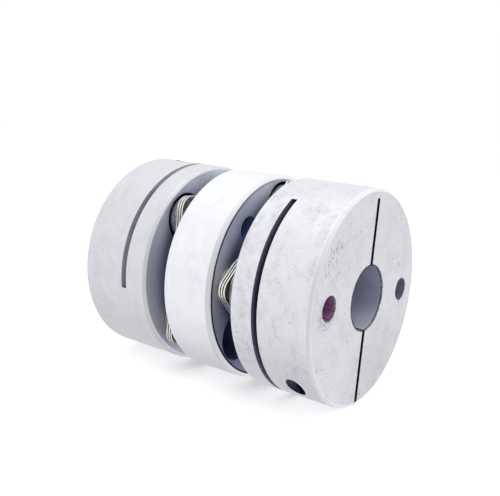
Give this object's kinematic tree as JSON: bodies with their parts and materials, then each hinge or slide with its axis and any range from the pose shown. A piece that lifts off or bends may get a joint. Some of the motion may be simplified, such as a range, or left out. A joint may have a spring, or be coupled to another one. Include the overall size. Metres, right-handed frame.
{
  "type": "double-disc flexible clamp coupling",
  "caption": "Flexible shaft coupling: two slit clamp hubs joined to a centre spacer by thin laminated steel disc packs that bend to take up misalignment.",
  "frame": {"origin": "centre of the coupling, on the shaft axis, midway between the two end faces", "axes": "+X along the shaft axis towards the front hub; +Z towards the closed side of the front hub's slit"},
  "size_m": [0.044, 0.034, 0.034],
  "materials": {
    "hub_aluminium": "fine bead-blasted satin",
    "leaf_steel": "rolled spring steel",
    "collar_steel": "turned",
    "washer_steel": "ground",
    "bolt_steel": "plated, knurled heads",
    "clamp_screw_steel": "dark alloy steel"
  },
  "bodies": {
    "front_half": {"front_hub": "hub_aluminium", "front_hub_bolt_top": "bolt_steel", "front_hub_bolt_bottom": "bolt_steel", "front_hub_collar_top": "collar_steel", "front_hub_collar_bottom": "collar_steel", "front_hub_washer_top": "washer_steel", "front_hub_washer_bottom": "washer_steel"},
    "front_screw": {"front_clamp_screw": "clamp_screw_steel"},
    "front_pack": {"front_leaf_1": "leaf_steel", "front_leaf_2": "leaf_steel", "front_leaf_3": "leaf_steel"},
    "centre": {"spacer": "hub_aluminium", "front_spacer_bolt_left": "bolt_steel", "front_spacer_bolt_right": "bolt_steel", "front_spacer_collar_left": "collar_steel", "front_spacer_collar_right": "collar_steel", "front_spacer_washer_left": "washer_steel", "front_spacer_washer_right": "washer_steel", "rear_spacer_bolt_left": "bolt_steel", "rear_spacer_bolt_right": "bolt_steel", "rear_spacer_collar_left": "collar_steel", "rear_spacer_collar_right": "collar_steel", "rear_spacer_washer_left": "washer_steel", "rear_spacer_washer_right": "washer_steel"},
    "rear_pack": {"rear_leaf_1": "leaf_steel", "rear_leaf_2": "leaf_steel", "rear_leaf_3": "leaf_steel"},
    "rear_half": {"rear_hub": "hub_aluminium", "rear_hub_bolt_top": "bolt_steel", "rear_hub_bolt_bottom": "bolt_steel", "rear_hub_collar_top": "collar_steel", "rear_hub_collar_bottom": "collar_steel", "rear_hub_washer_top": "washer_steel", "rear_hub_washer_bottom": "washer_steel"},
    "rear_screw": {"rear_clamp_screw": "clamp_screw_steel"}
  },
  "joints": [
    {"name": "front_pack_tilt", "type": "hinge", "parent": "front_half", "child": "front_pack", "pos_m": [0.0065, 0, 0], "axis": [0, 0, 1], "range_deg": [-1, 1], "stiffness_Nm_per_rad": 1},
    {"name": "front_spacer_tilt", "type": "hinge", "parent": "front_pack", "child": "centre", "pos_m": [0.0065, 0, 0], "axis": [0, 1, 0], "range_deg": [-1, 1], "stiffness_Nm_per_rad": 1},
    {"name": "rear_spacer_tilt", "type": "hinge", "parent": "centre", "child": "rear_pack", "pos_m": [-0.0065, 0, 0], "axis": [0, -0.7071, 0.7071], "range_deg": [-1, 1], "stiffness_Nm_per_rad": 1},
    {"name": "rear_pack_tilt", "type": "hinge", "parent": "rear_pack", "child": "rear_half", "pos_m": [-0.0065, 0, 0], "axis": [0, -0.7071, -0.7071], "range_deg": [-1, 1], "stiffness_Nm_per_rad": 1},
    {"name": "front_clamp_screw_turn", "type": "hinge", "parent": "front_half", "child": "front_screw", "pos_m": [0.0177, 0, -0.0126], "axis": [0, 1, 0], "range_deg": [0, 180]},
    {"name": "rear_clamp_screw_turn", "type": "hinge", "parent": "rear_half", "child": "rear_screw", "pos_m": [-0.0177, 0.00891, 0.00891], "axis": [0, 0.7071, -0.7071], "range_deg": [0, 180]}
  ]
}
